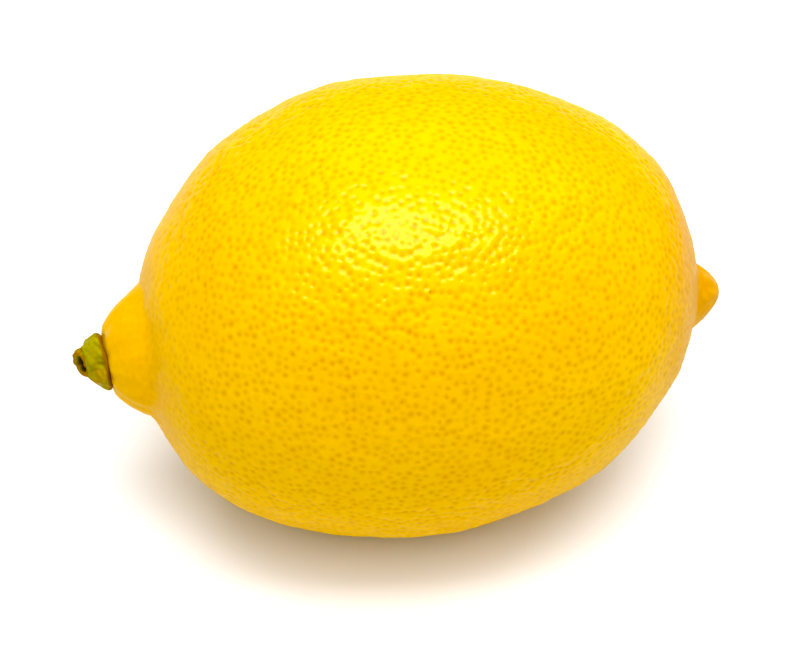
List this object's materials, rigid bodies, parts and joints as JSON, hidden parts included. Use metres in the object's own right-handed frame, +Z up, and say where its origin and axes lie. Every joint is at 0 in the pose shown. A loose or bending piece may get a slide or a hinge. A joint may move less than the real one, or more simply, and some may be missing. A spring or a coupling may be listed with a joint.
{
  "type": "lemon",
  "caption": "Whole ripe lemon lying on its side, with a short neck, a green calyx button with a cut stem stub, and a blunt nipple at the other end.",
  "frame": {"origin": "middle of the lemon's outline seen from above, on the plane that it rests on", "axes": "+Z up from the resting plane, +X along the fruit from the stem end to the nipple, +Y across it to the side away from the viewer"},
  "size_m": [0.092, 0.065, 0.0646],
  "materials": {
    "peel": "waxy lemon peel with fine oil-gland pits, satin",
    "calyx_green": "dull leathery yellow-green with brown dried edges",
    "stem_wood": "dry cut stem, matt, with a dark hollow pith"
  },
  "bodies": {
    "root": {"fruit": "peel", "calyx": "calyx_green", "stem_stub": "stem_wood"}
  },
  "joints": []
}
